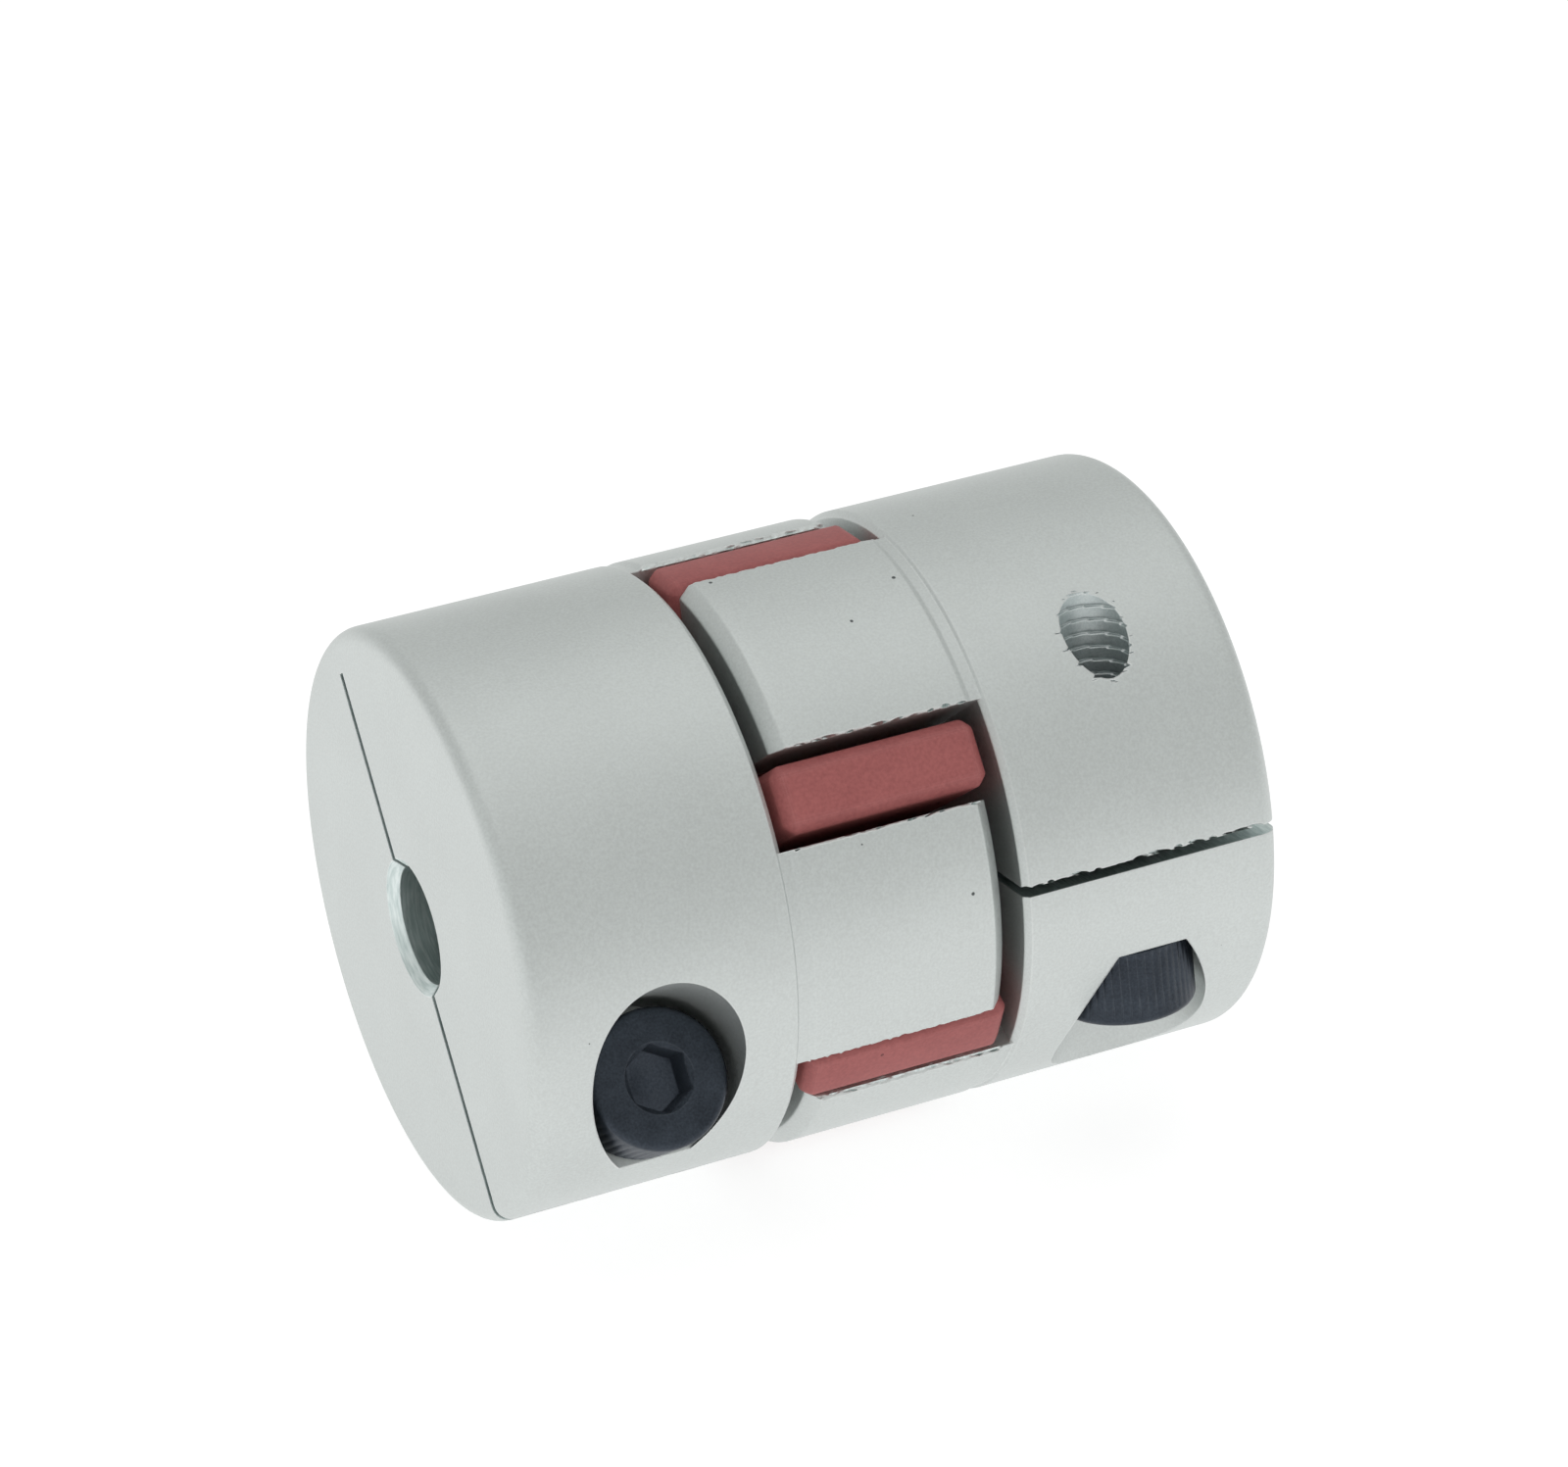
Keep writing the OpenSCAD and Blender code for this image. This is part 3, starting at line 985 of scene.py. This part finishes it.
def screwPlace(jointName, seat):
    joint = joints[jointName]
    spot, out = Vector(joint["pos_m"]), Vector(joint["axis"])
    slitWay = Vector((0, spot.y, spot.z)).normalized()
    return uprightPlace((slitWay, out.cross(slitWay), out), spot + out * seat * mm)


def cutSocket(screw, height):
    values = screwValues
    corner = values["socketWidth"] / math.sqrt(3)
    turns = [math.radians(60 * step) for step in range(6)]
    hexagon = [(corner * math.cos(turn), corner * math.sin(turn)) for turn in turns]
    floor = height - values["socketDepth"]
    combine(screw, prism("socketCutter", [hexagon], floor, height + 1, socketPaintedLighter), "DIFFERENCE")
    drill = values["socketWidth"] / 2 * 0.98
    bottom = floor - values["drillDepth"]
    cone = lathe("socketCone", [
        (0, bottom), (0.5, bottom), (drill, floor + 0.01), (drill, floor + 0.02), (0, floor + 0.02),
    ], 96, finish=socketPaintedLighter)
    combine(screw, cone, "DIFFERENCE")
    lead = lathe("socketLead", [
        (0, height - 0.35), (corner - 0.3, height - 0.3), (corner + 0.2, height + 0.15), (0, height + 0.15),
    ], 96, finish=black)
    combine(screw, lead, "DIFFERENCE")


def makeScrew(name, shank):
    # the seat under the head is at the origin and the head is on the +Z side
    values = screwValues
    radius, height, foot = values["headRadius"], values["headLength"], values["footChamfer"]
    rows = [height * step / 12 for step in range(1, 9)]
    outline = rounded([
        (0, 0, 0),
        (radius - foot, 0, 0),
        (radius, foot, 0),
        *[(radius, row, 0) for row in rows],
        (radius, height, values["headRound"]),
        (0, height, 0),
    ], 6)
    screw = lathe(name, outline, values["ribs"] * 6, finish=black)
    runTree(screw, knurlTreeMade, {
        "Head Radius": radius, "Ribs": float(values["ribs"]), "Depth": values["ribDepth"],
        "Low": 0.1, "High": height - values["headRound"], "Finish": black})
    cutSocket(screw, height)
    overlap = 0.1               # the thread starts inside the head
    thread = toObject("thread", bmesh.new())
    runTree(thread, threadTreeMade, {
        "Length": shank + 0.2, "Root Radius": values["threadRoot"], "Crest Radius": values["threadCrest"],
        "Pitch": values["pitch"], "Run Out": 0.5, "Around": 72,
        "Along": int(shank / values["pitch"] * 8), "Finish": black})
    thread.data.transform(Matrix.Translation((0, 0, overlap - shank / 2)))
    combine(screw, thread, "UNION")
    shadeByAngle(screw, values["shadeAngle"])
    return screw


# spider

spiderValues = {
    "legs": 6,
    "legWidth": 3.4,
    "legChamfer": 0.5,
    "legSoftness": 0.12,
    "ringBore": 5.25,
    "ringOuter": 7.65,
    "ringLength": 8.4,
    "ringRound": 0.35,
    "shadeAngle": 28,
}


def makeSpider(name, reach, length):
    values = spiderValues
    inner = (values["ringBore"] + values["ringOuter"]) / 2      # a leg starts inside the ring
    mesh = bmesh.new()
    bmesh.ops.create_cube(mesh, size=1)
    bmesh.ops.scale(mesh, vec=(reach - inner, values["legWidth"], length), verts=mesh.verts)
    bmesh.ops.translate(mesh, vec=((reach + inner) / 2, 0, 0), verts=mesh.verts)
    hidden = inner + 0.1
    edges = [edge for edge in mesh.edges if not all(vert.co.x < hidden for vert in edge.verts)]
    bmesh.ops.bevel(mesh, geom=edges, offset=values["legChamfer"], segments=1, affect="EDGES", profile=0.5)
    bent = 0.3      # radians, from which an edge is softened
    edges = [edge for edge in mesh.edges
             if not all(vert.co.x < hidden for vert in edge.verts) and edge.calc_face_angle(0) > bent]
    bmesh.ops.bevel(mesh, geom=edges, offset=values["legSoftness"], segments=2, affect="EDGES", profile=0.5)
    legs = toObject(name, mesh, rubber)
    runTree(legs, starTreeMade, {
        "Legs": values["legs"], "First Turn": math.pi / values["legs"], "Finish": rubber})
    half = values["ringLength"] / 2
    turn = values["ringRound"]
    ring = lathe("spiderRing", rounded([
        (values["ringBore"], -half, turn), (values["ringOuter"], -half, turn),
        (values["ringOuter"], half, turn), (values["ringBore"], half, turn),
    ]), 160, closed=True, finish=rubber)
    combine(legs, ring, "UNION")
    shadeByAngle(legs, values["shadeAngle"])
    return legs


# stage

stageValues = {
    "viewTurn": -25.1,          # degrees, the camera's side
    "viewRise": 33.35,
    "viewDistance": 0.3041,     # metres from the middle of the coupling
    "viewLift": 0.00484,        # the middle sits this far under the picture's centre
    "lens": 139.5,
    "floorSize": 3.0,
    "floorGlow": 0.78,
    "skyGlow": 0.68,
    "floorColour": (0.4, 0.4, 0.4, 1),
    "skyColour": (0.985, 1.0, 0.985, 1),
    "lamps": (                  # name, place, size, watts and colour
        ("overhead", (0.05, 0.05, 0.5), 0.5, 0.3, (1.0, 1.0, 1.0)),
        ("leftPanel", (-0.45, -0.1, 0.15), 0.35, 0.06, (0.93, 1.0, 1.0)),
    ),
}


def makeStage():
    values = stageValues
    low = cadBox[0].z
    half = values["floorSize"] / 2
    mesh = bmesh.new()
    signs = ((-1, -1), (1, -1), (1, 1), (-1, 1))
    mesh.faces.new([mesh.verts.new((x * half, y * half, low)) for x, y in signs])
    floor = toObject("floor", mesh)
    material, _, shader = newFinish("paleFloor", 0.0)
    shader.inputs["Base Color"].default_value = values["floorColour"]
    shader.inputs["Roughness"].default_value = 0.9
    shader.inputs["Specular IOR Level"].default_value = 0.1
    shader.inputs["Emission Color"].default_value = (1, 1, 1, 1)
    shader.inputs["Emission Strength"].default_value = values["floorGlow"]
    floor.data.materials.append(material)

    scene = bpy.context.scene
    scene.view_settings.view_transform = "Standard"
    world = bpy.data.worlds.new("studio")
    world.use_nodes = True
    scene.world = world
    sky = world.node_tree.nodes["Background"]
    sky.inputs["Color"].default_value = values["skyColour"]
    sky.inputs["Strength"].default_value = values["skyGlow"]

    for label, spot, size, power, colour in values["lamps"]:
        light = bpy.data.lights.new(label, "AREA")
        light.shape = "SQUARE"
        light.size = size
        light.energy = power
        light.color = colour
        lamp = bpy.data.objects.new(label, light)
        lamp.location = spot
        lamp.rotation_mode = "QUATERNION"
        lamp.rotation_quaternion = Vector(spot).to_track_quat("Z", "Y")
        scene.collection.objects.link(lamp)

    turn, rise = math.radians(values["viewTurn"]), math.radians(values["viewRise"])
    back = Vector((math.sin(turn) * math.cos(rise), -math.cos(turn) * math.cos(rise), math.sin(rise)))
    rightWay = Vector((math.cos(turn), math.sin(turn), 0))
    upWay = back.cross(rightWay)
    lens = bpy.data.cameras.new("camera")
    lens.lens = values["lens"]
    lens.clip_start, lens.clip_end = 0.01, 10
    camera = bpy.data.objects.new("camera", lens)
    camera.location = back * values["viewDistance"] + upWay * values["viewLift"]
    camera.rotation_mode = "QUATERNION"
    camera.rotation_quaternion = back.to_track_quat("Z", "Y")
    scene.collection.objects.link(camera)
    scene.camera = camera
    print("stage ready")


def finishPiece(piece, place, body, node):
    piece.data.transform(place)
    piece.data.name = piece.name
    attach(piece, body)
    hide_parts(node)
    print(piece.name, "has", len(piece.data.polygons), "faces")


makeStage()
grain, wearAndHighlight = grainGroup(), edgeWearAndHighlightGroup()
blasted, machined, tapped = blastedFinish(grain, wearAndHighlight), cutFinish(grain, wearAndHighlight), tappedFinish(grain, wearAndHighlight)
rubber = rubberFinish(grain, wearAndHighlight)
black = blackFinish(grain, wearAndHighlight, "blackOxideSteel", *blackValues["outside"])
# a copy of the black oxide painted lighter, standing in for light inside the hex socket
socketPaintedLighter = blackFinish(grain, wearAndHighlight, "socketSteelPaintedLighter", *blackValues["socket"])
print("finishes ready")
threadTreeMade, knurlTreeMade = threadTree(), knurlTree()
chipTreeMade, starTreeMade = chipTree(), starTree()
print("trees ready")

for side, seed in (("drive", 3), ("driven", 8)):     # the seed draws a hub's wear
    hubNode, screwNode = side + "_hub", side + "_clamp_screw"
    jointName, mountName = side + "_screw_turn", side + "_bore"
    reach, top = screwSizes(screwNode, jointName)
    size = hubSizes(hubNode, jointName, mountName)
    size["screwReach"] = reach
    hub = makeHub(side + "HubBody", size, seed)
    finishPiece(hub, hubPlace(jointName), hubNode, hubNode)
    seat = top - screwValues["headLength"]
    screw = makeScrew(side + "ClampScrew", reach + seat)
    finishPiece(screw, screwPlace(jointName, seat), screwNode, screwNode)

spiderLow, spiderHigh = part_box("spider")
reach = max(math.hypot(vertex.co.y, vertex.co.z) for vertex in frame["nodes"]["spider"].data.vertices)
spider = makeSpider("spiderStar", reach / mm, (spiderHigh.x - spiderLow.x) / mm)
# the legs stand midway between the two hubs, whose slits tell how they are turned
slitTurns = []
for side in ("drive", "driven"):
    across, up = joints[side + "_screw_turn"]["pos_m"][1:]
    slitTurns.append(math.atan2(-across, up))
evenTurn = math.radians(60)     # from one hub's slit to the other's with no play taken up
playTurn = (slitTurns[0] - slitTurns[1] - evenTurn) / 2
middle = hubPlace("drive_screw_turn") @ Matrix.Rotation(-playTurn, 4, "Z")
middle.translation = Vector(((spiderLow.x + spiderHigh.x) / 2, 0, 0))
finishPiece(spider, middle, "spider", "spider")
